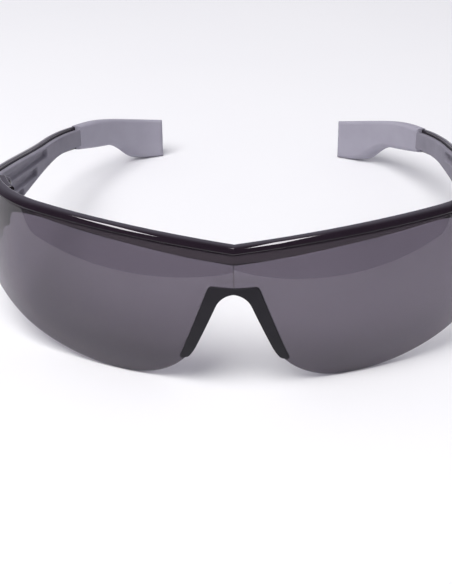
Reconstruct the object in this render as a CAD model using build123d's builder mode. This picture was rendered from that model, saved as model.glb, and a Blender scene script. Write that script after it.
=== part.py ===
from build123d import *

import os
from math import acos, cos, radians, sin, tan

# Wrap-around safety glasses, opened out and standing on the lens's lower edge and the temple tips.
# Millimetres, +Z up. The wearer looks towards -Y, so the wearer's left is +X. The origin is on the
# resting plane, midway between the lens's foremost point and the rearmost points of the tips.

# Overall size
overall_depth = 162.0
crease_y = -overall_depth / 2
skyline = 60.0  # taller than any piece, so that cutting shapes run right through
out_of_reach = 90.0  # wider than half the glasses

# Lens: plan curve of each half, from the centre crease outwards
crease_turn = 5.3  # degrees that each half is swept back at the crease
brow_radius = 133.0
brow_span = 25.9
side_radius = 40.0
side_span = 49.0
lens_end = 42.3  # where the lens stops, behind the crease

# Lens: upright section and front outline
lens_thickness = 2.0
belly_radius = 85.0
belly_height = 23.0
lens_under_brow = 0.8
lobe_x = 31.0  # where each half reaches lowest
lobe_rise_radius = 54.0
lobe_rise_turn = 57.0
arch_top = 30.0
arch_radius = 6.2
arch_point = 1.0  # how far each side's arc is centred beyond the middle, which gives the arch a point
arch_slope = 22.7  # degrees off vertical
arch_into_lobe_radius = 22.0

# Brow bar
brow_centre_top = 42.7
brow_mid_x, brow_mid_top = 29.0, 45.0
brow_end_x, brow_end_top = 75.0, 45.3
lip_height = 1.7
lip_proud = 0.7
lip_rounding = 0.6
skirt_thickness = 0.9
skirt_bottom = [(0, 36.9), (15, 38.4), (31, 40.0), (48, 41.2), (60, 40.6), (68, 37.0)]
bar_end = 42.9

# Nose piece
saddle_proud = 0.5
saddle_step = 1.7  # how much lower the half behind the lens stops
saddle_top = 32.1
saddle_corner = (6.6, 31.4)
saddle_tail = (14.9, 8.4)
saddle_wrap = 0.3  # how far it covers the lens's edge
pad_length = 11.5
pad_thickness = 1.5
pad_front, pad_front_reach = (9.0, 19.0), 3.0
pad_back, pad_back_reach = (9.3, 18.8), 6.2

# Hinges
hinge_x = 68.0
hinge_y = crease_y + 43.5
knuckle_radius = 2.5
knuckle_low, knuckle_high = 32.5, 42.5
middle_low, middle_high = 35.8, 39.2
knuckle_gap = 0.15
arm_length = 4.5
lug_depth = 4.8
screw_radius = 0.8
screw_play = 0.05
screw_head_radius = 1.5
screw_head_height = 1.0
screw_slot_width = 0.5

# Temples: plan line of the inner face, and side outline
temple_x = 70.8
temple_start = 43.2
temple_lean = 6.5
ear_radius, ear_lean = 95.0, 36.0
curl_radius, curl_lean = 30.0, 70.0
liner_thickness = 1.8
temple_thickness = 3.4
block_end = 48.4  # the hinge end is solid up to here
temple_top = [(43.2, 43.6), (70, 37.6), (97, 31.0), (120, 26.2), (136, 22.4)]
temple_bottom = [(43.2, 21.6), (56, 23.6), (75, 23.3), (97, 21.6), (120, 17.9), (136, 13.6)]
liner_inset = 1.1
flutes = [((51.5, 37.6), (96, 27.9)), ((51.5, 33.4), (84, 26.6)), ((51.5, 29.2), (69, 26.2))]
flute_width = 2.8
flute_depth = 1.0

# Soft tips: flush with the temple where they start
tip_start = 126.0
tip_wall = 0.3
tip_top = [(126, 25.1), (140, 21.9), (152, 17.4), (163, 12.6)]
tip_bottom = [(163, 0), (156.5, 0), (147, 9.8), (126, 16.4)]
tip_bend_radius, tip_foot_radius = 8.0, 2.0
tip_rounding = 1.2
tang_end, tang_low, tang_high = 148.0, 14.0, 18.6


def behind(distance):
    """The Y of a point that lies this far behind the crease."""
    return crease_y + distance


def placed(points):
    """Side view points, given as distance behind the crease and height, as Y and Z."""
    return [(behind(distance), height) for distance, height in points]


# The front: lens, nose piece and brow bar share one wrapped shape


def plan_arcs():
    """Axis, radius, first direction and span of the two plan arcs of the +X half."""
    turn, joint = radians(crease_turn), radians(crease_turn + brow_span)
    brow_axis = (-brow_radius * sin(turn), behind(brow_radius * cos(turn)))
    closer = brow_radius - side_radius
    side_axis = (brow_axis[0] + closer * sin(joint), brow_axis[1] - closer * cos(joint))
    overrun = 3.0  # past the middle, so that the two halves meet in a sharp crease
    return [
        (brow_axis, brow_radius, crease_turn - overrun, brow_span + overrun),
        (side_axis, side_radius, crease_turn + brow_span, side_span),
    ]


def wrap_wall(proud, depth):
    """A wall that follows the lens, from proud of its front face to a depth behind that face."""
    with BuildPart() as wall:
        for (axis_x, axis_y), radius, first, span in plan_arcs():
            outward = (sin(radians(first)), -cos(radians(first)), 0)
            facing = (-cos(radians(first)), -sin(radians(first)), 0)
            with BuildSketch(Plane(origin=(axis_x, axis_y, 0), x_dir=outward, z_dir=facing)):
                with Locations((radius - belly_radius, belly_height)):
                    Circle(belly_radius + proud)
                    Circle(belly_radius - depth, mode=Mode.SUBTRACT)
                with Locations((radius, skyline / 2)):
                    Rectangle(side_radius, 2 * skyline, mode=Mode.INTERSECT)
            revolve(axis=Axis((axis_x, axis_y, 0), (0, 0, 1)), revolution_arc=span)
        split(bisect_by=Plane.YZ, keep=Keep.TOP)
        mirror(about=Plane.YZ)
    return wall.part


def cut_behind(distance):
    """Takes away whatever lies further behind the crease than this distance."""
    split(bisect_by=Plane.XZ.offset(-behind(distance)), keep=Keep.TOP)


def through_front(face, mode):
    """Runs a front view face right through the part."""
    extrude(face, amount=2 * out_of_reach, both=True, mode=mode)


def under_brow(drop):
    """Front view face of all that lies below the brow line, lowered by drop."""
    with BuildSketch(Plane.XZ) as face:
        with BuildLine():
            ThreePointArc(
                (0, brow_centre_top - drop),
                (brow_mid_x, brow_mid_top - drop),
                (brow_end_x, brow_end_top - drop),
            )
            Polyline(
                (brow_end_x, brow_end_top - drop),
                (out_of_reach, brow_end_top - drop),
                (out_of_reach, -skyline),
                (0, -skyline),
                (0, brow_centre_top - drop),
            )
        make_face()
        mirror(about=Plane.YZ)
    return face.sketch


def arch_half(offset):
    """Crown, mid bend, shoulder and foot of one side of the nose arch, moved outwards by offset."""
    slope = radians(arch_slope)
    radius = arch_radius + offset
    centre = arch_top - (arch_radius**2 - arch_point**2) ** 0.5
    crown = (0, centre + (radius**2 - arch_point**2) ** 0.5)
    middle = (slope + acos(arch_point / radius)) / 2
    bend = (radius * cos(middle) - arch_point, centre + radius * sin(middle))
    shoulder = (radius * cos(slope) - arch_point, centre + radius * sin(slope))
    foot_x = shoulder[0] + shoulder[1] * tan(slope)
    return crown, bend, shoulder, (foot_x, 0)


def above_lens_edge(offset):
    """Front view face of all that lies above the lens's lower edge, nose arch moved by offset."""
    crown, bend, shoulder, foot = arch_half(offset)
    with BuildSketch(Plane.XZ) as face:
        with BuildLine():
            ThreePointArc(crown, bend, shoulder)
            Polyline(shoulder, foot, (lobe_x, 0))
            rise = JernArc((lobe_x, 0), (1, 0), lobe_rise_radius, lobe_rise_turn)
            Polyline(rise @ 1, (out_of_reach, skyline), (0, skyline), crown)
        make_face()
        feet = [corner for corner in vertices() if abs(corner.Y) < 0.01 and corner.X < lobe_x - 1]
        fillet(feet, arch_into_lobe_radius)
        mirror(about=Plane.YZ)
    return face.sketch


def hinge_rounds(radius):
    """A circle on each hinge axis."""
    with Locations((-hinge_x, hinge_y), (hinge_x, hinge_y)):
        Circle(radius)


# Lens: one creased shield, its nose arch cut back where the nose piece wraps the edge
with BuildPart() as lens:
    add(wrap_wall(0, lens_thickness))
    cut_behind(lens_end)
    through_front(above_lens_edge(saddle_wrap), Mode.INTERSECT)
    through_front(under_brow(lens_under_brow), Mode.INTERSECT)


def saddle_outline(drop):
    """Front view face of the nose saddle's outline, lowered by drop."""
    with BuildSketch(Plane.XZ) as face:
        with BuildLine():
            top, corner, tail = [(x, z - drop) for x, z in ((0, saddle_top), saddle_corner, saddle_tail)]
            Polyline(top, corner, tail, (0, -skyline), top)
        make_face()
        mirror(about=Plane.YZ)
    return face.sketch


# Nose piece: a soft saddle that grips the arch, with a bearing pad down each side of the nose
with BuildPart() as saddle_front:
    add(wrap_wall(saddle_proud, saddle_wrap))
    through_front(saddle_outline(0), Mode.INTERSECT)

with BuildPart() as saddle_back:
    add(wrap_wall(0, lens_thickness + skirt_thickness))
    through_front(saddle_outline(saddle_step), Mode.INTERSECT)

with BuildPart() as nose_piece:
    add(saddle_front)
    add(saddle_back)
    through_front(above_lens_edge(0), Mode.INTERSECT)
    for side in (-1, 1):
        for (x, height), reach in ((pad_front, pad_front_reach), (pad_back, pad_back_reach)):
            with BuildSketch(Plane.XZ.offset(-behind(reach))):
                with Locations((side * x, height)):
                    SlotOverall(pad_length, pad_thickness, rotation=side * (arch_slope - 90))
        loft()
    add(lens, mode=Mode.SUBTRACT)

# Brow bar: a lip over the lens's top edge, a skirt behind the lens and a hinge lug at each end
with BuildPart() as lip:
    add(wrap_wall(lip_proud, lens_thickness + skirt_thickness))
    through_front(under_brow(0), Mode.INTERSECT)
    through_front(under_brow(lip_height), Mode.SUBTRACT)
    fillet(lip.edges().filter_by(lambda edge: edge.length > side_radius / 2), lip_rounding)

with BuildPart() as skirt:
    add(wrap_wall(-lens_thickness, lens_thickness + skirt_thickness))
    through_front(under_brow(lip_height / 2), Mode.INTERSECT)
    with BuildSketch(Plane.XZ) as above_hem:
        with BuildLine():
            hem = Spline(*skirt_bottom)
            Polyline(hem @ 1, (out_of_reach, skirt_bottom[-1][1]), (out_of_reach, skyline))
            Polyline((out_of_reach, skyline), (0, skyline), hem @ 0)
        make_face()
        mirror(about=Plane.YZ)
    through_front(above_hem.sketch, Mode.INTERSECT)

with BuildPart() as lugs:
    add(wrap_wall(-lens_thickness, lug_depth))
    with BuildSketch(Plane.XZ) as ends:
        with Locations((-hinge_x, knuckle_low), (hinge_x, knuckle_low)):
            Rectangle(4 * lug_depth, skyline, align=(Align.CENTER, Align.MIN))
    through_front(ends.sketch, Mode.INTERSECT)
    through_front(under_brow(lip_height / 2), Mode.INTERSECT)

with BuildPart() as brow_bar:
    add(lip)
    add(skirt)
    add(lugs)
    cut_behind(bar_end)
    with BuildSketch(Plane.XY.offset(knuckle_low)):
        hinge_rounds(knuckle_radius)
    extrude(amount=knuckle_high - knuckle_low)
    add(lens, mode=Mode.SUBTRACT)
    with BuildSketch(Plane.XY.offset(middle_low - knuckle_gap)):
        hinge_rounds(knuckle_radius + knuckle_gap)
    extrude(amount=middle_high - middle_low + 2 * knuckle_gap, mode=Mode.SUBTRACT)
    with BuildSketch(Plane.XY.offset(knuckle_low)):
        hinge_rounds(screw_radius)
    extrude(amount=skyline, mode=Mode.SUBTRACT)
    with BuildSketch(Plane.XY.offset(knuckle_high - screw_head_height)):
        hinge_rounds(screw_head_radius)
    extrude(amount=skyline, mode=Mode.SUBTRACT)

# The temples: shell, liner and tip share one plan line


def temple_line(out):
    """The +X temple's plan line, moved out from its inner face; gives its two ends."""
    lean, ear, curl = radians(temple_lean), radians(ear_lean), radians(curl_lean)
    turned = ear_radius * (sin(ear) - sin(lean)) + curl_radius * (sin(curl) - sin(ear))
    rear_wall = (temple_thickness + tip_wall) * sin(curl)
    run_up = 2.0  # the line starts ahead of the temple, whose end is then cut square
    straight = run_up + (overall_depth - temple_start - turned - rear_wall) / cos(lean)
    start = (
        temple_x + run_up * sin(lean) + out * cos(lean),
        behind(temple_start) - run_up * cos(lean) + out * sin(lean),
    )
    ear_start = (start[0] - straight * sin(lean), start[1] + straight * cos(lean))
    Line(start, ear_start)
    bend = JernArc(ear_start, (-sin(lean), cos(lean)), ear_radius + out, ear_lean - temple_lean)
    hook = JernArc(bend @ 1, bend % 1, curl_radius + out, curl_lean - ear_lean)
    return start, hook @ 1


def temple_wall(inner, outer):
    """A tall wall along the +X temple, between two distances out from its inner face."""
    with BuildPart() as wall:
        with BuildSketch(Plane.XY):
            with BuildLine():
                inner_start, inner_end = temple_line(inner)
                outer_start, outer_end = temple_line(outer)
                Line(inner_start, outer_start)
                Line(inner_end, outer_end)
            make_face()
        extrude(amount=skyline)
    return wall.part


def temple_side(inset):
    """Side view face of the temple, with its long edges moved in by inset."""
    with BuildSketch(Plane.YZ) as face:
        with BuildLine():
            top = Spline(*[(y, z - inset) for y, z in placed(temple_top)])
            low = Spline(*[(y, z + inset) for y, z in placed(temple_bottom)])
            Line(top @ 0, low @ 0)
            Line(top @ 1, low @ 1)
        make_face()
    return face.sketch


def side_strip(start, end, low=0, high=skyline):
    """Side view rectangle between two distances behind the crease and two heights."""
    with BuildSketch(Plane.YZ) as face:
        with Locations((behind((start + end) / 2), (low + high) / 2)):
            Rectangle(end - start, high - low)
    return face.sketch


def through_side(face):
    """Cuts the part to a side view face, on the +X half."""
    extrude(face, amount=out_of_reach, mode=Mode.INTERSECT)


# Shell: the hard outer skin, solid at its hinge end, with a tang that runs into the tip
with BuildPart() as tang:
    add(temple_wall(liner_thickness, temple_thickness))
    through_side(side_strip(tip_start - 1, tang_end, tang_low, tang_high))

with BuildPart() as shell_skin:
    add(temple_wall(liner_thickness, temple_thickness))
    through_side(temple_side(0))
    through_side(side_strip(temple_start, tip_start))
    add(tang)

with BuildPart() as shell:
    add(temple_wall(0, temple_thickness))
    through_side(temple_side(0))
    through_side(side_strip(temple_start, block_end))
    add(shell_skin)
    with BuildSketch(Plane.XY.offset(middle_low)):
        with Locations((hinge_x, hinge_y)):
            Circle(knuckle_radius)
            Rectangle(arm_length, arm_length - 1, align=(Align.MIN, Align.MIN))
            Circle(screw_radius + screw_play, mode=Mode.SUBTRACT)
    extrude(amount=middle_high - middle_low)

# Liner: the softer inner layer, with three flutes that fan out from the hinge
with BuildPart() as flute_cuts:
    add(temple_wall(-flute_depth, flute_depth))
    with BuildSketch(Plane.YZ) as slots:
        for near, far in flutes:
            with BuildLine():
                Line(*placed((near, far)))
            trace(line_width=flute_width)
            with Locations(*placed((near, far))):
                Circle(flute_width / 2)
    through_side(slots.sketch)

with BuildPart() as liner:
    add(temple_wall(0, liner_thickness))
    through_side(temple_side(liner_inset))
    through_side(side_strip(block_end, tip_start))
    add(flute_cuts, mode=Mode.SUBTRACT)

# Tip: a soft sleeve over the tang, drooping to a flat foot
with BuildPart() as tip:
    add(temple_wall(-tip_wall, temple_thickness + tip_wall))
    with BuildSketch(Plane.YZ) as drooping:
        with BuildLine():
            Spline(*placed(tip_top))
            Polyline(*placed([tip_top[-1]] + tip_bottom + [tip_top[0]]))
        make_face()
        for (distance, height), radius in zip(tip_bottom[1:3], (tip_foot_radius, tip_bend_radius)):
            corner = vertices().sort_by_distance((behind(distance), height))[0]
            fillet(corner, radius)
    through_side(drooping.sketch)
    fillet(tip.faces().sort_by(Axis.X)[0].edges().filter_by(Axis.Z), tip_rounding)
    add(shell_skin, mode=Mode.SUBTRACT)

# Screw: passes the upper knuckle, runs in the temple's knuckle and bites in the lower one
with BuildPart() as screw:
    with BuildSketch(Plane.XY.offset(knuckle_low)):
        with Locations((hinge_x, hinge_y)):
            Circle(screw_radius)
    extrude(amount=knuckle_high - knuckle_low)
    with BuildSketch(Plane.XY.offset(knuckle_high - screw_head_height)):
        with Locations((hinge_x, hinge_y)):
            Circle(screw_head_radius)
    extrude(amount=screw_head_height)
    with BuildSketch(Plane.XY.offset(knuckle_high - screw_head_height / 2)):
        with Locations((hinge_x, hinge_y)):
            Rectangle(screw_slot_width, 2 * screw_head_radius)
            Rectangle(2 * screw_head_radius, screw_slot_width)
    extrude(amount=screw_head_height, mode=Mode.SUBTRACT)

# Files: one for each piece, the +X ones mirrored for the other side
os.makedirs("parts", exist_ok=True)

lens.part.label = "lens"
export_step(lens.part, "parts/lens.step")

nose_piece.part.label = "nose_piece"
export_step(nose_piece.part, "parts/nose_piece.step")

brow_bar.part.label = "brow_bar"
export_step(brow_bar.part, "parts/brow_bar.step")

pieces = {"temple_shell": shell, "temple_liner": liner, "temple_tip": tip, "hinge_screw": screw}
for name, left in pieces.items():
    with BuildPart() as right:
        mirror(left.part, about=Plane.YZ)
    for hand, piece in (("left", left), ("right", right)):
        piece.part.label = f"{hand}_{name}"
        export_step(piece.part, f"parts/{hand}_{name}.step")
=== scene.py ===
from math import cos, radians, sin, tan

import bpy
import numpy as np
from mathutils import Matrix, Vector


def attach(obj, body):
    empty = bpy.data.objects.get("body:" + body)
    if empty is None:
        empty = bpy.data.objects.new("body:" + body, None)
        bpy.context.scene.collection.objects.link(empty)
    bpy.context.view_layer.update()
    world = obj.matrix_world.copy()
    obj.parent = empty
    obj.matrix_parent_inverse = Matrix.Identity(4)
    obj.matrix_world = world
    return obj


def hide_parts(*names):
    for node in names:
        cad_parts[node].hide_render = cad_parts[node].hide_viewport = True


# Wrap-around safety glasses on a white table. Shape functions work in millimetres, with distances
# counted back from the lens's centre crease, and every mesh is turned into metres as it is made.

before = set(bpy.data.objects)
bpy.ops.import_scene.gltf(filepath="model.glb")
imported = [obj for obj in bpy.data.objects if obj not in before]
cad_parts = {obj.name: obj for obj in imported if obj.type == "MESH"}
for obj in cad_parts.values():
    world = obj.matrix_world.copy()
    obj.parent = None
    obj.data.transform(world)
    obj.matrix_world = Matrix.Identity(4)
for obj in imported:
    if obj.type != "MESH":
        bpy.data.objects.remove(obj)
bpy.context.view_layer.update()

MM = 0.001
CREASE_Y = -81.0

# Front: plan arcs, upright section and outlines
CREASE_TURN = 5.3
BROW_RADIUS, BROW_SPAN = 133.0, 25.9
SIDE_RADIUS = 40.0
SIDE_LENGTH = 33.0  # about how long the side arc is, for spacing the mesh
NEAR_NOSE = 22.0  # the mesh is finer up to here
LENS_END = 42.3
LENS_THICKNESS, LENS_ROUNDING = 2.0, 0.45
BELLY_RADIUS, BELLY_HEIGHT = 85.0, 23.0
BROW_POINTS = ((0.0, 42.7), (29.0, 45.0), (75.0, 45.3))
LOBE_X, LOBE_RISE_RADIUS = 31.0, 54.0
ARCH_TOP, ARCH_RADIUS, ARCH_POINT, ARCH_SLOPE, ARCH_FOOT_RADIUS = 30.0, 6.2, 1.0, 22.7, 22.0
LIP_HEIGHT, LIP_PROUD, SKIRT_THICKNESS = 1.7, 0.7, 0.9
HEM_POINTS = ((0, 36.9), (15, 38.4), (31, 40.0), (48, 41.2), (60, 40.6), (68, 37.0), (76, 33.0))
BAR_END = 42.9

# Nose piece
SADDLE_TOP, SADDLE_CORNER, SADDLE_TAIL = 31.7, (6.7, 31.9), (14.9, 9.2)
SADDLE_SHOULDER, SADDLE_TAIL_WIDTH = 3.9, 0.75
SADDLE_TAIL_LIFT, SADDLE_TAIL_CURVE = 1.3, 0.2
SADDLE_BEND, SADDLE_SOFTNESS = 0.3, 0.65
SADDLE_PROUD, SADDLE_STEP, SADDLE_WRAP = 0.5, 1.7, 0.3
SADDLE_FRONT_ROUNDING, SADDLE_BACK_ROUNDING = 0.24, 0.3
PAD_FRONT, PAD_FRONT_BACK = (9.0, 19.0), 3.0
PAD_REAR, PAD_REAR_BACK = (9.3, 18.8), 6.2
PAD_LENGTH, PAD_THICKNESS, PAD_TAPER = 11.5, 1.5, 1.5
PAD_SIDES, PAD_SQUARENESS = 40, 0.8
PAD_FULLNESS = (  # places along a pad, and how full it is there
    (-0.02, 0.9), (0.3, 1.0), (0.6, 1.02), (0.8, 1.0), (0.9, 0.93), (0.96, 0.78), (0.99, 0.55), (1.0, 0.25),
)

# Hinges
HINGE_X, HINGE_BACK = 68.0, 43.5
KNUCKLE_RADIUS = 2.5
KNUCKLE_LOW, KNUCKLE_HIGH = 32.5, 42.5
MIDDLE_LOW, MIDDLE_HIGH = 35.8, 39.2
KNUCKLE_GAP = 0.15
BARREL_RIM, BARREL_SIDES = 0.35, 40
LUG_START = 1.62  # place along the wrap
LUG_FRONT, LUG_DEPTH, LUG_ROUNDING = 2.06, 4.8, 0.6
HINGE_ARM = ((0, 0.2), (4, 0.2), (4, 3.3), (0, 2.45))  # plan from the pin's centre to the temple's block

# Temples
TEMPLE_X, TEMPLE_START, TEMPLE_LEAN = 70.8, 43.2, 6.5
EAR_RADIUS, EAR_LEAN = 95.0, 36.0
CURL_RADIUS, CURL_LEAN = 30.0, 70.0
LINER_THICKNESS, TEMPLE_THICKNESS, TIP_WALL = 1.8, 3.4, 0.3
LINER_ROUNDING, SHELL_ROUNDING, TIP_ROUNDING = 0.4, 0.5, 1.3
LINER_CLEAR, BLOCK_CLEAR = 0.03, 0.05  # keep faces that would coincide apart
TEMPLE_STRAIGHT = 59.9
BLOCK_END, TIP_START = 48.4, 126.0
LINER_TUCK, SHELL_TUCK = 1, 2  # how far they run on inside the tip
TEMPLE_TOP = ((43.2, 43.6), (70, 37.6), (97, 31.0), (120, 26.2), (136, 22.4))
TEMPLE_BOTTOM = ((43.2, 21.6), (56, 23.6), (75, 23.3), (97, 21.6), (120, 17.9), (136, 13.6))
LINER_INSET = 1.1
FLUTES = (((51.5, 37.6), (96, 27.9)), ((51.5, 33.4), (84, 26.6)), ((51.5, 29.2), (69, 26.2)))
FLUTE_HALF_WIDTH, FLUTE_DEPTH, FLUTE_SHOULDER = 1.55, 1.25, 0.7
FLUTE_START_SHARE, FLUTE_GROWTH = 0.75, 0.4
TIP_TOP = ((126, 25.1), (140, 21.9), (152, 17.4), (163, 12.6))
TIP_BOTTOM = ((126, 16.4), (140, 11.8), (147, 9.0), (151, 5.2), (154, 1.7), (157, 0.3), (163, 0.3))


# ---------------------------------------------------------------- curves


def arc_through(first, middle, last):
    """Centre and radius of the circle through three points."""
    (ax, ay), (bx, by), (cx, cy) = first, middle, last
    a, b, c = ax * ax + ay * ay, bx * bx + by * by, cx * cx + cy * cy
    twice = 2 * (ax * (by - cy) + bx * (cy - ay) + cx * (ay - by))
    x = (a * (by - cy) + b * (cy - ay) + c * (ay - by)) / twice
    y = (a * (cx - bx) + b * (ax - cx) + c * (bx - ax)) / twice
    return x, y, ((ax - x) ** 2 + (ay - y) ** 2) ** 0.5


def spline_through(points):
    """A natural cubic spline through the points, as a function."""
    x, y = np.array(points, float).T
    gap, rise = np.diff(x), np.diff(y)
    size = len(x)
    system, right = np.eye(size), np.zeros(size)
    for i in range(1, size - 1):
        system[i, i - 1 : i + 2] = gap[i - 1], 2 * (gap[i - 1] + gap[i]), gap[i]
        right[i] = 6 * (rise[i] / gap[i] - rise[i - 1] / gap[i - 1])
    bend = np.linalg.solve(system, right)

    def height(at):
        at = np.clip(at, x[0], x[-1])
        i = np.clip(np.searchsorted(x, at) - 1, 0, size - 2)
        after, before = at - x[i], x[i + 1] - at
        cubic = (bend[i] * before**3 + bend[i + 1] * after**3) / (6 * gap[i])
        line_start = (y[i] / gap[i] - bend[i] * gap[i] / 6) * before
        line_end = (y[i + 1] / gap[i] - bend[i + 1] * gap[i] / 6) * after
        return cubic + line_start + line_end

    return height


def smooth_step(value):
    value = np.clip(value, 0, 1)
    return value * value * (3 - 2 * value)


def steepness(curve, at):
    """How much longer the curve is than its run, which turns an inset square to it into an upright one."""
    step = 0.05
    return np.sqrt(1 + ((curve(at + step) - curve(at - step)) / (2 * step)) ** 2)


# ---------------------------------------------------------------- the front's shape

brow_centre_x, brow_centre_z, brow_arc_radius = arc_through(*BROW_POINTS)
hem_curve = spline_through(HEM_POINTS)
temple_top_curve, temple_bottom_curve = spline_through(TEMPLE_TOP), spline_through(TEMPLE_BOTTOM)
tip_top_curve, tip_bottom_curve = spline_through(TIP_TOP), spline_through(TIP_BOTTOM)


def brow_top(x):
    return brow_centre_z + np.sqrt(brow_arc_radius**2 - (np.abs(x) - brow_centre_x) ** 2)


def hem(x):
    return hem_curve(np.abs(x))


def arch_points(offset):
    """Crown centre height, shoulder and foot of the nose arch's side, moved out by offset."""
    slope, radius = radians(ARCH_SLOPE), ARCH_RADIUS + offset
    centre = ARCH_TOP - (ARCH_RADIUS**2 - ARCH_POINT**2) ** 0.5
    shoulder = (radius * cos(slope) - ARCH_POINT, centre + radius * sin(slope))
    return radius, centre, shoulder, shoulder[0] + shoulder[1] * tan(slope)


def lens_low(x, offset):
    """The lens's lower edge: nose arch, foot, lobe and rise to the temple."""
    x = np.abs(x)
    radius, centre, (shoulder_x, shoulder_z), foot_x = arch_points(offset)
    run = ARCH_FOOT_RADIUS * tan(radians(90 - ARCH_SLOPE) / 2)
    crown = centre + np.sqrt(np.maximum(radius**2 - (x + ARCH_POINT) ** 2, 0))
    side = shoulder_z - (x - shoulder_x) / tan(radians(ARCH_SLOPE))
    bend_x = foot_x + run
    bend = ARCH_FOOT_RADIUS - np.sqrt(np.maximum(ARCH_FOOT_RADIUS**2 - (x - bend_x) ** 2, 0))
    rise = LOBE_RISE_RADIUS - np.sqrt(np.maximum(LOBE_RISE_RADIUS**2 - (x - LOBE_X) ** 2, 0))
    side_end = foot_x - run * sin(radians(ARCH_SLOPE))
    return np.select([x < shoulder_x, x < side_end, x < bend_x, x < LOBE_X], [crown, side, bend, 0], rise)


def reach(plan_radius, depth, z):
    """Plan radius at height z and at a depth behind the lens's front face."""
    return plan_radius - BELLY_RADIUS + np.sqrt((BELLY_RADIUS - depth) ** 2 - (z - BELLY_HEIGHT) ** 2)


def wrap(along, depth, z, end):
    """Plan place on the wrapped front. along is 0 at the crease, 1 where the arcs meet and 2 at the end."""
    turn, joint = radians(CREASE_TURN), radians(CREASE_TURN + BROW_SPAN)
    way, along = np.sign(along), np.abs(along)
    brow_x, brow_y = -BROW_RADIUS * sin(turn), BROW_RADIUS * cos(turn)
    closer = BROW_RADIUS - SIDE_RADIUS
    side_x, side_y = brow_x + closer * sin(joint), brow_y - closer * cos(joint)
    brow_reach, side_reach = reach(BROW_RADIUS, depth, z), reach(SIDE_RADIUS, depth, z)
    first = np.arcsin(-brow_x / brow_reach)
    last = np.arccos(np.clip((side_y - end) / side_reach, -1, 1))
    brow_angle = first + np.clip(along, 0, 1) * (joint - first)
    side_angle = joint + np.clip(along - 1, 0, 1) * (last - joint)
    on_brow = along <= 1
    x = np.where(on_brow, brow_x + brow_reach * np.sin(brow_angle), side_x + side_reach * np.sin(side_angle))
    y = np.where(on_brow, brow_y - brow_reach * np.cos(brow_angle), side_y - side_reach * np.cos(side_angle))
    return np.where(way == 0, 0.0, way * x), y


def front_point(x, z, depth):
    """Place on the wrapped front above a front view point, which lies on the brow arc."""
    turn = radians(CREASE_TURN)
    radius = reach(BROW_RADIUS, depth, z)
    across = np.abs(x) + BROW_RADIUS * sin(turn)
    return x, BROW_RADIUS * cos(turn) - np.sqrt(radius**2 - across**2), z


def height_on_wrap(along, depth, curve, end):
    """Height at which a column of the wrap meets a front view curve."""
    first_guess, rounds = 30.0, 12
    z = np.full(np.shape(along), first_guess)
    for _ in range(rounds):
        z = curve(wrap(along, depth, z, end)[0])
    return z


def stations(near_step, far_step):
    """Places along the wrap, from one end to the other, closer together near the nose."""
    brow_length = BROW_RADIUS * radians(BROW_SPAN)
    near, far = np.arange(0, NEAR_NOSE, near_step), np.arange(NEAR_NOSE, brow_length + SIDE_LENGTH, far_step)
    length = np.concatenate([near, far])
    half = np.where(length < brow_length, length / brow_length, 1 + (length - brow_length) / SIDE_LENGTH)
    half = np.concatenate([half, [1.995, 2.0]])
    return np.concatenate([-half[:0:-1], half])


# ---------------------------------------------------------------- meshes


def make_object(name, points, faces, mirrored=False):
    """A smooth mesh object from points in millimetres, with distances back from the crease."""
    points = np.array(points, float) + (0, CREASE_Y, 0)
    if mirrored:
        points[:, 0] *= -1
    mesh = bpy.data.meshes.new(name)
    mesh.from_pydata((points * MM).tolist(), [], [tuple(int(i) for i in face) for face in faces])
    mesh.validate()
    mesh.shade_smooth()
    built = bpy.data.objects.new(name, mesh)
    bpy.context.scene.collection.objects.link(built)
    bpy.context.view_layer.objects.active = built
    bpy.ops.object.select_all(action="DESELECT")
    built.select_set(True)
    bpy.ops.object.mode_set(mode="EDIT")
    bpy.ops.mesh.select_all(action="SELECT")
    bpy.ops.mesh.normals_make_consistent(inside=False)
    bpy.ops.object.mode_set(mode="OBJECT")
    return built


def joined(parts):
    """Several (points, faces) shells as one."""
    points, faces, count = [], [], 0
    for part_points, part_faces in parts:
        points.append(np.array(part_points, float).reshape(-1, 3))
        faces += [tuple(i + count for i in face) for face in part_faces]
        count += len(points[-1])
    return np.concatenate(points), faces


def border(rows, columns):
    """Indices round the edge of a grid, in order."""
    index = np.arange(rows * columns).reshape(rows, columns)
    return np.concatenate([index[0, :-1], index[:-1, -1], index[-1, :0:-1], index[:0:-1, 0]])


def plate(across, up, profile, place):
    """A closed plate. place(across, up, depth, inset) gives its points, and profile lists (depth, inset)
    from the front face, round the edge, to the back face."""
    grid_across, grid_up = np.meshgrid(across, up)
    rows, columns = grid_across.shape
    edge = border(rows, columns)
    layers = []
    for depth, inset in profile:
        spots = np.broadcast_arrays(*place(grid_across, grid_up, depth, inset))
        layers.append(np.stack(spots, -1).reshape(-1, 3))
    points = [layers[0]] + [layer[edge] for layer in layers[1:-1]] + [layers[-1]]
    starts = np.cumsum([0] + [len(p) for p in points])
    index = np.arange(rows * columns).reshape(rows, columns)
    quads = np.stack([index[:-1, :-1], index[:-1, 1:], index[1:, 1:], index[1:, :-1]], -1).reshape(-1, 4)
    faces = [tuple(q) for q in quads] + [tuple(q[::-1] + starts[-2]) for q in quads]
    rings = [edge] + [np.arange(len(edge)) + s for s in starts[1:-2]] + [edge + starts[-2]]
    for here, there in zip(rings, rings[1:]):
        faces += list(zip(np.roll(here, -1), here, there, np.roll(there, -1)))
    return np.concatenate(points), faces


def tube(rings):
    """A closed shell through rings of equal size, capped at both ends."""
    count, size = len(rings), len(rings[0])
    points = np.array(rings, float).reshape(-1, 3)
    faces = [tuple(range(size)), tuple(range((count - 1) * size, count * size))]
    for ring in range(count - 1):
        for i in range(size):
            j = (i + 1) % size
            faces.append((ring * size + i, ring * size + j, (ring + 1) * size + j, (ring + 1) * size + i))
    return points, faces


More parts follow.
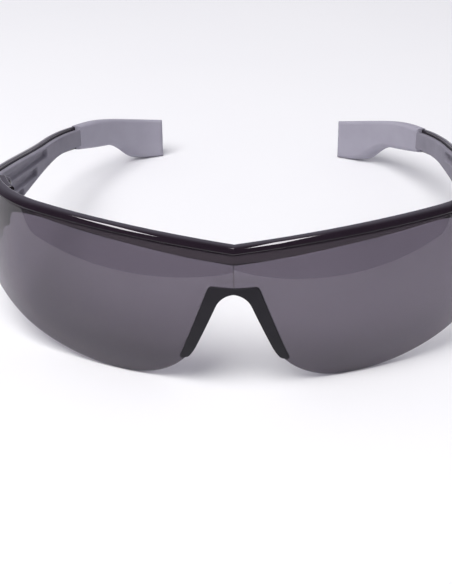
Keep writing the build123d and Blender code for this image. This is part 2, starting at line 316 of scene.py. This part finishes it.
def rounded(front, back, radius, steps=4):
    """Profile of a plate from depth front to depth back, with both edges rounded."""
    turns = [radians(90) * i / steps for i in range(steps + 1)]
    near = [(front + radius * (1 - cos(a)), radius * (1 - sin(a))) for a in turns]
    far = [(back - radius * (1 - cos(a)), radius * (1 - sin(a))) for a in reversed(turns)]
    return near + far


def spaced(count, margin=0.006):
    """Shares from 0 to 1, with one more close to each end to keep the shading tight."""
    return np.concatenate([[0, margin], np.linspace(0, 1, count)[1:-1], [1 - margin, 1]])


def barrel(x, back, low, high, radius):
    """An upright cylinder with rounded rims."""
    edge = BARREL_RIM
    turns = [radians(90) * i / 4 for i in range(5)]
    outline = [(radius - edge + edge * sin(a), low + edge * (1 - cos(a))) for a in turns]
    outline += [(radius - edge + edge * cos(a), high - edge * (1 - sin(a))) for a in turns]
    around = [2 * np.pi * i / BARREL_SIDES for i in range(BARREL_SIDES)]
    return tube([[(x + r * cos(a), back + r * sin(a), z) for a in around] for r, z in outline])


def crease_sharp(built):
    """Keeps the crease in the middle plane crisp in an otherwise smooth mesh."""
    mesh = built.data
    on_plane = np.array([abs(v.co.x) < 1e-6 for v in mesh.vertices])
    sharp = mesh.attributes.new("sharp_edge", "BOOLEAN", "EDGE")
    ends = [(on_plane[edge.vertices[0]], on_plane[edge.vertices[1]]) for edge in mesh.edges]
    sharp.data.foreach_set("value", [bool(first and second) for first, second in ends])


# ---------------------------------------------------------------- the front's pieces

LENS_GROOVE = 0.15  # open gap between the brow bar's lip and the lens's top edge
LENS_FOOT = 0.03  # keeps the lobes' rounded edges clear of the table


def lens_edge(x, inset):
    """The lens's lower edge, moved in by inset."""

    def edge(v):
        return lens_low(v, SADDLE_WRAP) + LENS_FOOT

    return edge(x) + inset * steepness(edge, x)


def lens_place(across, up, depth, inset):
    end = LENS_END - inset
    low = height_on_wrap(across, depth, lambda x: lens_edge(x, inset), end)
    top = height_on_wrap(across, depth, lambda x: brow_top(x) - LIP_HEIGHT - LENS_GROOVE - inset, end)
    z = low + up * (top - low)
    x, y = wrap(across, depth, z, end)
    return x, y, z


def make_lens():
    profile = rounded(0, LENS_THICKNESS, LENS_ROUNDING)
    built = make_object("lens_shield", *plate(stations(0.45, 1.1), spaced(60), profile, lens_place))
    crease_sharp(built)
    return built


LIP_ROUNDING, LIP_EDGE, BACK_ROUNDING, TOP_DROP = 1.3, 0.12, 1.4, 0.01
GROOVE_FRONT, GROOVE_BACK, GROOVE_ROOF = -0.04, 2.04, -0.77  # the slot that takes the lens
HEM_CUT_DEPTH, HEM_CUT_HEIGHT = 0.35, 0.5  # how much of the skirt's lower back corner is cut off
SKIRT_SUPPORT, UNDER_TOP = 1.5, 1.2


def brow_ring():
    """Section of the brow bar: (depth, height, which line the height is from), round the section."""
    ring = []
    for turn in np.linspace(0, 90, 9):
        a = radians(turn)
        depth, height = -LIP_PROUD + LIP_ROUNDING * (1 - cos(a)), -TOP_DROP - LIP_ROUNDING * (1 - sin(a))
        ring.append((depth, height, "top"))
    back = LENS_THICKNESS + SKIRT_THICKNESS
    for turn in np.linspace(0, 90, 8):
        a = radians(turn)
        ring.append((back - BACK_ROUNDING * (1 - sin(a)), -TOP_DROP - BACK_ROUNDING * (1 - cos(a)), "top"))
    ring += [(back, SKIRT_SUPPORT, "hem"), (back, HEM_CUT_HEIGHT, "hem"), (back - HEM_CUT_DEPTH, 0, "hem")]
    ring += [(GROOVE_BACK, 0, "hem"), (GROOVE_BACK, HEM_CUT_HEIGHT, "hem"), (GROOVE_BACK, -UNDER_TOP, "top")]
    ring += [(GROOVE_BACK, GROOVE_ROOF, "top"), (GROOVE_FRONT, GROOVE_ROOF, "top")]
    ring.append((GROOVE_FRONT, -LIP_HEIGHT, "top"))
    for turn in (90, 45, 0):
        a = radians(turn)
        ring.append((-LIP_PROUD + LIP_EDGE * (1 - cos(a)), -LIP_HEIGHT + LIP_EDGE * (1 - sin(a)), "top"))
    return ring


def lug_place(across, up, depth, inset):
    """The hinge lug behind one end of the lens."""
    end = BAR_END - inset
    top = height_on_wrap(across, depth, lambda x: brow_top(x) - UNDER_TOP - inset, end)
    low = KNUCKLE_LOW + inset
    z = low + up * (top - low)
    x, y = wrap(across, depth, z, end)
    return x, y, z


def make_brow_bar():
    across = stations(0.8, 0.9)
    columns = []
    for depth, height, line in brow_ring():
        curve = (lambda x, h=height: brow_top(x) + h) if line == "top" else (lambda x, h=height: hem(x) + h)
        z = height_on_wrap(across, depth, curve, BAR_END)
        x, y = wrap(across, depth, z, BAR_END)
        columns.append(np.stack([x, y, z], -1))
    shells = [tube(np.swapaxes(np.array(columns), 0, 1))]
    for way in (-1, 1):
        lug = way * np.linspace(LUG_START, 2.0, 18)
        shells.append(plate(lug, spaced(8, 0.02), rounded(LUG_FRONT, LUG_DEPTH, LUG_ROUNDING), lug_place))
        for low, high in ((KNUCKLE_LOW, MIDDLE_LOW - KNUCKLE_GAP), (MIDDLE_HIGH + KNUCKLE_GAP, KNUCKLE_HIGH)):
            shells.append(barrel(way * HINGE_X, HINGE_BACK, low, high, KNUCKLE_RADIUS))
    built = make_object("brow_bar_moulding", *joined(shells))
    crease_sharp(built)
    return built


def saddle_borders(side, drop):
    """Inner and outer border of the nose saddle in the front view, for shares 0 to 1 of one side."""
    first = np.clip(side / SADDLE_BEND, 0, 1)
    second = np.clip((side - SADDLE_BEND) / (1 - SADDLE_BEND), 0, 1)
    (corner_x, corner_z), (tail_x, tail_z) = SADDLE_CORNER, SADDLE_TAIL
    outer_x = corner_x * first + (tail_x - corner_x) * second
    over = SADDLE_TOP + (corner_z - SADDLE_TOP) * outer_x / corner_x
    down = corner_z + (tail_z - corner_z) * (outer_x - corner_x) / (tail_x - corner_x)
    outer_z = -SADDLE_SOFTNESS * np.logaddexp(-over / SADDLE_SOFTNESS, -down / SADDLE_SOFTNESS) - drop
    inner_x = SADDLE_SHOULDER * first + (tail_x - SADDLE_TAIL_WIDTH - SADDLE_SHOULDER) * second
    inner_z = lens_low(inner_x, 0) + SADDLE_TAIL_LIFT * smooth_step(1 - (1 - second) / SADDLE_TAIL_CURVE)
    return inner_x, inner_z, outer_x, outer_z


def saddle_place(across, up, depth, inset):
    """The saddle: a plate before the lens, a rim round its edge and a lower plate behind it."""
    drop = SADDLE_STEP if depth > LENS_THICKNESS else 0
    inner_x, inner_z, outer_x, outer_z = saddle_borders(np.abs(across), drop)
    width = np.hypot(outer_x - inner_x, outer_z - inner_z)
    in_rim = 0 < depth < LENS_THICKNESS
    outer_share = SADDLE_WRAP / width if in_rim else 1 - inset / width
    share = inset / width + up * (outer_share - inset / width)
    x = np.sign(across) * (inner_x + share * (outer_x - inner_x))
    z = inner_z + share * (outer_z - inner_z)
    return front_point(x, z, depth)


def nose_pad(way):
    """A soft bearing pad down one side of the nose."""
    slope = radians(ARCH_SLOPE)
    along, thick = np.array([way * sin(slope), -cos(slope)]), np.array([cos(slope), way * sin(slope)])
    rings = []
    for share, full in PAD_FULLNESS:
        centre = (np.array(PAD_FRONT) * (1 - share) + np.array(PAD_REAR) * share) * (way, 1)
        back = PAD_FRONT_BACK * (1 - share) + PAD_REAR_BACK * share
        ring = []
        for i in range(PAD_SIDES):
            a = 2 * np.pi * i / PAD_SIDES
            half_length = PAD_LENGTH / 2 - (1 - full) * PAD_TAPER
            long = np.sign(cos(a)) * abs(cos(a)) ** PAD_SQUARENESS * half_length
            short = np.sign(sin(a)) * abs(sin(a)) ** PAD_SQUARENESS * PAD_THICKNESS / 2 * full
            spot = centre + along * long + thick * short
            ring.append((spot[0], back, spot[1]))
        rings.append(ring)
    return tube(rings)


def make_nose_piece():
    side = np.concatenate([np.linspace(0, SADDLE_BEND, 16), np.linspace(SADDLE_BEND, 1, 50)[1:]])
    across = np.concatenate([-side[:0:-1], side])
    front = rounded(-SADDLE_PROUD, 0, SADDLE_FRONT_ROUNDING)
    behind = rounded(LENS_THICKNESS, LENS_THICKNESS + SKIRT_THICKNESS, SADDLE_BACK_ROUNDING)
    rim = [(-0.01, 0), (0.02, 0), (LENS_THICKNESS - 0.02, 0), (LENS_THICKNESS + 0.02, 0)]
    profile = front[:5] + rim + behind[5:]
    saddle = plate(across, spaced(10, 0.03), profile, saddle_place)
    return make_object("nose_saddle", *joined([saddle, nose_pad(-1), nose_pad(1)]))


# ---------------------------------------------------------------- the temples' pieces


def temple_point(run, out):
    """Plan place on the +X temple, run along its inner face from its front end, out from that face."""
    lean, ear = radians(TEMPLE_LEAN), radians(EAR_LEAN)
    ear_length = EAR_RADIUS * (ear - lean)
    straight = np.minimum(run, TEMPLE_STRAIGHT)
    in_ear = np.clip(run - TEMPLE_STRAIGHT, 0, ear_length)
    in_curl = np.maximum(run - TEMPLE_STRAIGHT - ear_length, 0)
    ear_turn = lean + in_ear / EAR_RADIUS
    turn = ear_turn + in_curl / CURL_RADIUS
    x = TEMPLE_X - straight * sin(lean) + EAR_RADIUS * (np.cos(ear_turn) - cos(lean))
    x = x + CURL_RADIUS * (np.cos(turn) - np.cos(ear_turn)) + out * np.cos(turn)
    y = TEMPLE_START + straight * cos(lean) + EAR_RADIUS * (np.sin(ear_turn) - sin(lean))
    y = y + CURL_RADIUS * (np.sin(turn) - np.sin(ear_turn)) + out * np.sin(turn)
    return x, y


def temple_length():
    spans = EAR_RADIUS * radians(EAR_LEAN - TEMPLE_LEAN) + CURL_RADIUS * radians(CURL_LEAN - EAR_LEAN)
    return TEMPLE_STRAIGHT + spans


def run_to(back):
    """How far along the temple's inner face a distance back from the crease is reached."""
    runs = np.linspace(0, temple_length(), 2000)
    return float(np.interp(back, temple_point(runs, 0)[1], runs))


def temple_place(top_curve, bottom_curve, start, end, shrink=0.0):
    """place() of a plate on the temple, between two outlines and two runs."""

    def place(across, up, out, inset):
        run = start + inset + across * (end - start - 2 * inset)
        x, y = temple_point(run, out)
        top = top_curve(y) - (inset + shrink) * steepness(top_curve, y)
        low = bottom_curve(y) + (inset + shrink) * steepness(bottom_curve, y)
        return x, y, low + up * (top - low)

    return place


def flute_depth(y, z):
    """How deep the flutes are at a side view point; each ends in a round, deeper well."""
    depth = np.zeros(np.shape(y))
    for near, far in FLUTES:
        near, far = np.array(near), np.array(far)
        way = far - near
        share = np.clip(((y - near[0]) * way[0] + (z - near[1]) * way[1]) / (way @ way), 0, 1)
        gap = np.hypot(y - near[0] - share * way[0], z - near[1] - share * way[1])
        here = FLUTE_DEPTH * smooth_step((FLUTE_HALF_WIDTH - gap) / FLUTE_SHOULDER)
        here = here * (FLUTE_START_SHARE + FLUTE_GROWTH * share)
        depth = np.maximum(depth, here)
    return depth


def make_liner(name, mirrored):
    start, end = run_to(BLOCK_END), run_to(TIP_START + LINER_TUCK)
    flat = temple_place(temple_top_curve, temple_bottom_curve, start, end, LINER_INSET)

    def place(across, up, out, inset):
        x, y, z = flat(across, up, out, inset)
        if out < 0.1:
            run = start + inset + across * (end - start - 2 * inset)
            x, y = temple_point(run, out + flute_depth(y, z))
        return x, y, z

    profile = rounded(0, LINER_THICKNESS - LINER_CLEAR, LINER_ROUNDING)
    shell = plate(spaced(190, 0.002), spaced(64, 0.008), profile, place)
    return make_object(name, *shell, mirrored)


def make_shell(name, mirrored):
    clear = BLOCK_CLEAR
    skin = temple_place(temple_top_curve, temple_bottom_curve, 0.0, run_to(TIP_START + SHELL_TUCK))
    block = temple_place(temple_top_curve, temple_bottom_curve, 0.0, run_to(BLOCK_END - clear), clear)
    skin_profile = rounded(LINER_THICKNESS, TEMPLE_THICKNESS, SHELL_ROUNDING)
    block_profile = rounded(0, TEMPLE_THICKNESS - clear, SHELL_ROUNDING)
    arm_ends = (MIDDLE_LOW + clear, MIDDLE_HIGH - clear)
    shells = [
        plate(spaced(90, 0.003), spaced(14, 0.012), skin_profile, skin),
        plate(spaced(8, 0.03), spaced(14, 0.012), block_profile, block),
        barrel(HINGE_X, HINGE_BACK, MIDDLE_LOW, MIDDLE_HIGH, KNUCKLE_RADIUS),
        tube([[(HINGE_X + x, HINGE_BACK + y, z) for x, y in HINGE_ARM] for z in arm_ends]),
    ]
    return make_object(name, *joined(shells), mirrored)


def make_tip(name, mirrored):
    place = temple_place(tip_top_curve, tip_bottom_curve, run_to(TIP_START), temple_length())
    profile = rounded(-TIP_WALL, TEMPLE_THICKNESS + TIP_WALL, TIP_ROUNDING, 6)
    shell = plate(spaced(70, 0.004), spaced(24, 0.01), profile, place)
    return make_object(name, *shell, mirrored)


# ---------------------------------------------------------------- materials


def new_material(name):
    material = bpy.data.materials.new(name)
    material.use_nodes = True
    nodes = material.node_tree.nodes
    return material, nodes, material.node_tree.links, nodes["Principled BSDF"]


def noise(nodes, links, scale, detail=3.0, roughness=0.5):
    """Noise over object space, which is metres here."""
    where = nodes.new("ShaderNodeTexCoord")
    texture = nodes.new("ShaderNodeTexNoise")
    texture.inputs["Scale"].default_value = scale
    texture.inputs["Detail"].default_value = detail
    texture.inputs["Roughness"].default_value = roughness
    links.new(where.outputs["Object"], texture.inputs["Vector"])
    return texture.outputs["Fac"]


def spread(nodes, links, source, low, high):
    """Maps noise to a range of values."""
    mapped = nodes.new("ShaderNodeMapRange")
    mapped.inputs["From Min"].default_value = 0.3
    mapped.inputs["From Max"].default_value = 0.7
    mapped.inputs["To Min"].default_value = low
    mapped.inputs["To Max"].default_value = high
    links.new(source, mapped.inputs["Value"])
    return mapped.outputs["Result"]


def blend_colours(nodes, links, source, first, second):
    mix = nodes.new("ShaderNodeMix")
    mix.data_type = "RGBA"
    mix.inputs["A"].default_value = (*first, 1)
    mix.inputs["B"].default_value = (*second, 1)
    links.new(source, mix.inputs["Factor"])
    return mix.outputs["Result"]


def bump(nodes, links, source, distance):
    node = nodes.new("ShaderNodeBump")
    node.inputs["Distance"].default_value = distance
    node.inputs["Strength"].default_value = 1.0
    links.new(source, node.inputs["Height"])
    return node.outputs["Normal"]


def moulded(name, light, dark, roughness, grain_scale, grain, specular=0.5):
    """Moulded plastic or elastomer: mottled colour, uneven gloss and a moulded grain or waviness."""
    material, nodes, links, shader = new_material(name)
    shader.inputs["Specular IOR Level"].default_value = specular
    mottle = noise(nodes, links, 90, 4)
    colour = blend_colours(nodes, links, spread(nodes, links, mottle, 0, 1), dark, light)
    links.new(colour, shader.inputs["Base Color"])
    smear = noise(nodes, links, 260, 5, 0.6)
    links.new(spread(nodes, links, smear, *roughness), shader.inputs["Roughness"])
    links.new(bump(nodes, links, noise(nodes, links, grain_scale, 2), grain), shader.inputs["Normal"])
    return material


def beside_middle(nodes, links, near, far):
    """0 in the middle plane, rising to 1 between two distances from it."""
    where = nodes.new("ShaderNodeTexCoord")
    parts = nodes.new("ShaderNodeSeparateXYZ")
    links.new(where.outputs["Object"], parts.inputs[0])
    away = nodes.new("ShaderNodeMath")
    away.operation = "ABSOLUTE"
    links.new(parts.outputs["X"], away.inputs[0])
    mapped = nodes.new("ShaderNodeMapRange")
    mapped.inputs["From Min"].default_value = near
    mapped.inputs["From Max"].default_value = far
    links.new(away.outputs[0], mapped.inputs["Value"])
    return mapped.outputs["Result"]


# The crease tint is painted shade: the lens is tinted darker along its centre crease.
LENS_TINTS, CREASE_PAINTED_SHADE = ((0.352, 0.326, 0.372), (0.367, 0.341, 0.388)), (0.29, 0.27, 0.30, 1)
HAZE_COLOUR, HAZE_SHARE = (0.5, 0.42, 0.47, 1), 0.028
LEAST_MIRROR, MIRROR_POWER = 0.05, 3.5


def smoke_lens():
    """Smoke-tinted polycarbonate: it dims what is behind it, mirrors more at a slant and has a faint haze. A
    darker tint along the centre crease is painted shade.
    """
    material, nodes, links, shader = new_material("smoke_polycarbonate")
    nodes.remove(shader)
    clear = nodes.new("ShaderNodeBsdfTransparent")
    cloud = spread(nodes, links, noise(nodes, links, 30, 2), 0, 1)
    tint = blend_colours(nodes, links, cloud, *LENS_TINTS)
    # Painted shade: within a fraction of a millimetre of the centre crease the lens's tint turns darker.
    away_from_painted_crease_shade = beside_middle(nodes, links, 0.0001, 0.0003)
    with_painted_crease_shade = nodes.new("ShaderNodeMix")
    with_painted_crease_shade.data_type = "RGBA"
    with_painted_crease_shade.inputs["A"].default_value = CREASE_PAINTED_SHADE
    links.new(away_from_painted_crease_shade, with_painted_crease_shade.inputs["Factor"])
    links.new(tint, with_painted_crease_shade.inputs["B"])
    links.new(with_painted_crease_shade.outputs["Result"], clear.inputs["Color"])
    haze = nodes.new("ShaderNodeBsdfDiffuse")
    haze.inputs["Color"].default_value = HAZE_COLOUR
    tinted = nodes.new("ShaderNodeMixShader")
    tinted.inputs["Fac"].default_value = HAZE_SHARE
    links.new(clear.outputs[0], tinted.inputs[1])
    links.new(haze.outputs[0], tinted.inputs[2])
    mirror = nodes.new("ShaderNodeBsdfGlossy")
    links.new(spread(nodes, links, noise(nodes, links, 60, 3), 0.008, 0.02), mirror.inputs["Roughness"])
    slant = nodes.new("ShaderNodeLayerWeight")
    slant.inputs["Blend"].default_value = 0.5
    curve = nodes.new("ShaderNodeMath")
    curve.operation = "POWER"
    curve.inputs[1].default_value = MIRROR_POWER
    links.new(slant.outputs["Facing"], curve.inputs[0])
    share = nodes.new("ShaderNodeMapRange")
    share.inputs["To Min"].default_value = LEAST_MIRROR
    share.inputs["To Max"].default_value = 1.0
    links.new(curve.outputs[0], share.inputs["Value"])
    surface = nodes.new("ShaderNodeMixShader")
    links.new(share.outputs["Result"], surface.inputs["Fac"])
    links.new(tinted.outputs[0], surface.inputs[1])
    links.new(mirror.outputs[0], surface.inputs[2])
    links.new(surface.outputs[0], nodes["Material Output"].inputs["Surface"])
    return material


def hinge_steel():
    material, nodes, links, shader = new_material("hinge_steel")
    shader.inputs["Metallic"].default_value = 1.0
    mottle = spread(nodes, links, noise(nodes, links, 900, 4), 0, 1)
    colour = blend_colours(nodes, links, mottle, (0.30, 0.29, 0.28), (0.5, 0.49, 0.48))
    links.new(colour, shader.inputs["Base Color"])
    links.new(spread(nodes, links, noise(nodes, links, 1500, 3), 0.25, 0.45), shader.inputs["Roughness"])
    return material


def white_table():
    material, nodes, links, shader = new_material("white_table")
    mottle = spread(nodes, links, noise(nodes, links, 6, 3), 0, 1)
    colour = blend_colours(nodes, links, mottle, (0.86, 0.86, 0.88), (0.88, 0.88, 0.895))
    links.new(colour, shader.inputs["Base Color"])
    shader.inputs["Roughness"].default_value = 0.9
    shader.inputs["Specular IOR Level"].default_value = 0.0
    return material


# ---------------------------------------------------------------- assembly


def finish_piece(built, body, node, material):
    built.data.materials.clear()
    built.data.materials.append(material)
    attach(built, body)
    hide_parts(node)


# Each material's light and dark tones
GLOSS_BLACKS = (0.012, 0.0075, 0.012), (0.009, 0.0055, 0.009)
SOFT_GREYS = (0.240, 0.229, 0.272), (0.210, 0.200, 0.240)
TIP_GREYS = (0.366, 0.352, 0.415), (0.325, 0.312, 0.372)
NOSE_DARKS = (0.0135, 0.012, 0.0165), (0.010, 0.009, 0.0125)

gloss_black = moulded("gloss_black_nylon", *GLOSS_BLACKS, (0.035, 0.07), 70, 0.000004)
soft_grey = moulded("soft_grey_elastomer", *SOFT_GREYS, (0.62, 0.78), 3200, 0.00002, 0.3)
tip_grey = moulded("tip_grey_elastomer", *TIP_GREYS, (0.66, 0.82), 2800, 0.00003, 0.3)
nose_dark = moulded("nose_dark_elastomer", *NOSE_DARKS, (0.45, 0.58), 3000, 0.00001, 0.25)
steel = hinge_steel()

finish_piece(make_lens(), "front", "lens", smoke_lens())
finish_piece(make_brow_bar(), "front", "brow_bar", gloss_black)
finish_piece(make_nose_piece(), "front", "nose_piece", nose_dark)
temple_pieces = (
    (make_shell, "shell", "temple_gloss_black", gloss_black),
    (make_liner, "liner", "temple_soft_grey", soft_grey),
    (make_tip, "tip", "tip_soft_grey", tip_grey),
)
for side, mirrored in (("left", False), ("right", True)):
    for make, part, slot, material in temple_pieces:
        built = make(f"{side}_{part}", mirrored)
        finish_piece(built, f"{side}_temple", f"{side}_temple_{part}", material)
    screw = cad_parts[f"{side}_hinge_screw"]
    screw.data.materials.clear()
    screw.data.materials.append(steel)


# ---------------------------------------------------------------- table, lights and camera

FLOOR_HALF = 6.0
FRONT_ROOM, BACK_ROOM = (0.18, 0.145, 0.20), (0.66, 0.63, 0.77)
ROOM_LIGHT, BACKDROP = (0.45, 0.445, 0.48), (0.9, 0.9, 0.92)
DARK_NEAR_LEFT, DARK_NEAR_RIGHT, DARK_RIGHT_SLANT = 0.098, 0.080, 0.2
DARK_PINCH, DARK_WAIST, DARK_END = 0.006, 0.028, 2.5
PALE_EDGE = (
    (-3.0, -0.22), (-0.54, -0.22), (-0.46, -0.42), (-0.07, -0.35),
    (0.07, -0.37), (0.42, -0.48), (0.52, -0.25), (3.0, -0.36),
)
DARK_HEIGHT, PALE_HEIGHT, CARD_FRONT = 0.001, 0.0015, -4.0
DARK_GLOW, PALE_GLOW = (0.31, 0.31, 0.34), (0.88, 0.74, 0.90)
OVERHEAD_BACK, OVERHEAD_HEIGHT, OVERHEAD_LENGTH = -0.15, 0.72, 0.40
OVERHEAD_BOXES = (("left_overhead", -0.352, 0.145, 3.1), ("right_overhead", 0.068, 0.105, 2.4))
OVERHEAD_COLOUR, KEY_COLOUR = (1.0, 0.97, 1.0), (1.0, 0.99, 0.98)
CAMERA_PLACE, FOCAL_LENGTH, SENSOR_WIDTH = (0.0125, -0.3823, 0.2008), 81.9, 36.0
CAMERA_YAW, CAMERA_PITCH, CAMERA_ROLL = -2.75, 29.39, -0.63


def make_floor():
    bpy.ops.mesh.primitive_plane_add(size=2 * FLOOR_HALF)
    floor = bpy.context.object
    floor.name = "white_floor"
    floor.data.materials.append(white_table())


def area_light(name, place, aim, size, watts, colour):
    """A soft box at place that faces aim. size is (width, height) in metres."""
    data = bpy.data.lights.new(name, "AREA")
    data.shape = "RECTANGLE"
    data.size, data.size_y = size
    data.energy = watts
    data.color = colour
    light = bpy.data.objects.new(name, data)
    light.location = place
    light.rotation_euler = (Vector(aim) - Vector(place)).to_track_quat("-Z", "Y").to_euler()
    light.visible_camera = False
    bpy.context.scene.collection.objects.link(light)
    return light


def card(name, edge, height, glow):
    """A card over the table's front that only reflections see, for the room in front of the glasses.
    edge runs along its far side from left to right."""
    outline = [*edge, (edge[-1][0], CARD_FRONT), (edge[0][0], CARD_FRONT)]
    corners = [(x, y, height) for x, y in outline]
    mesh = bpy.data.meshes.new(name)
    mesh.from_pydata(corners, [], [tuple(range(len(corners)))])
    built = bpy.data.objects.new(name, mesh)
    material, _, _, shader = new_material(name)
    shader.inputs["Base Color"].default_value = (0, 0, 0, 1)
    shader.inputs["Specular IOR Level"].default_value = 0.0
    shader.inputs["Emission Color"].default_value = (*glow, 1)
    shader.inputs["Emission Strength"].default_value = 1.0
    mesh.materials.append(material)
    bpy.context.scene.collection.objects.link(built)
    built.visible_camera = built.visible_diffuse = built.visible_shadow = built.visible_transmission = False


def dark_edge():
    """The dark card's far edge: a wing in front of each half of the lens, pinched in between the two."""
    away = np.geomspace(DARK_WAIST, DARK_END, 50).tolist()
    left = [(-x, -DARK_NEAR_LEFT - DARK_PINCH / x) for x in reversed(away)]
    return left + [(x, -DARK_NEAR_RIGHT - DARK_PINCH / x - DARK_RIGHT_SLANT * x) for x in away]


def make_world():
    """A pale room. Reflections see it dim in front and bright at the back, and it lights the rest softly."""
    world = bpy.data.worlds.new("pale_room")
    bpy.context.scene.world = world
    world.use_nodes = True
    nodes, links = world.node_tree.nodes, world.node_tree.links
    path = nodes.new("ShaderNodeLightPath")
    where = nodes.new("ShaderNodeTexCoord")
    parts = nodes.new("ShaderNodeSeparateXYZ")
    links.new(where.outputs["Generated"], parts.inputs[0])
    back = nodes.new("ShaderNodeMapRange")
    back.inputs["From Min"].default_value = 0.0
    back.inputs["From Max"].default_value = 0.65
    links.new(parts.outputs["Y"], back.inputs["Value"])
    mirrored = blend_colours(nodes, links, back.outputs["Result"], FRONT_ROOM, BACK_ROOM)
    for_light = nodes.new("ShaderNodeMix")
    for_light.data_type = "RGBA"
    for_light.inputs["A"].default_value = (*ROOM_LIGHT, 1)
    links.new(mirrored, for_light.inputs["B"])
    links.new(path.outputs["Is Glossy Ray"], for_light.inputs["Factor"])
    seen = nodes.new("ShaderNodeMix")
    seen.data_type = "RGBA"
    links.new(for_light.outputs["Result"], seen.inputs["A"])
    seen.inputs["B"].default_value = (*BACKDROP, 1)
    links.new(path.outputs["Is Camera Ray"], seen.inputs["Factor"])
    links.new(seen.outputs["Result"], nodes["Background"].inputs["Color"])


def make_camera():
    yaw, pitch, roll = radians(CAMERA_YAW), radians(CAMERA_PITCH), radians(CAMERA_ROLL)
    look = Vector((sin(yaw) * cos(pitch), cos(yaw) * cos(pitch), -sin(pitch)))
    level = Vector((cos(yaw), -sin(yaw), 0))
    upright = level.cross(look)
    right = level * cos(roll) + upright * sin(roll)
    up = upright * cos(roll) - level * sin(roll)
    data = bpy.data.cameras.new("camera")
    data.lens = FOCAL_LENGTH
    data.sensor_width = SENSOR_WIDTH
    camera = bpy.data.objects.new("camera", data)
    turn = Matrix((right, up, -look)).transposed()
    camera.matrix_world = Matrix.Translation(CAMERA_PLACE) @ turn.to_4x4()
    bpy.context.scene.collection.objects.link(camera)
    bpy.context.scene.camera = camera


make_floor()
card("front_dark_card", dark_edge(), DARK_HEIGHT, DARK_GLOW)
card("front_pale_card", PALE_EDGE, PALE_HEIGHT, PALE_GLOW)
for name, x, width, watts in OVERHEAD_BOXES:
    place, aim = (x, OVERHEAD_BACK, OVERHEAD_HEIGHT), (x, OVERHEAD_BACK, 0)
    box = area_light(name, place, aim, (width, OVERHEAD_LENGTH), watts, OVERHEAD_COLOUR)
    box.visible_diffuse = False
middle = (0.0, -0.03, 0.0)
key = area_light("front_window", (-0.30, -0.48, 1.05), middle, (0.8, 0.65), 12.6, KEY_COLOUR)
key.visible_glossy = False
make_world()
make_camera()
bpy.context.scene.view_settings.view_transform = "Standard"
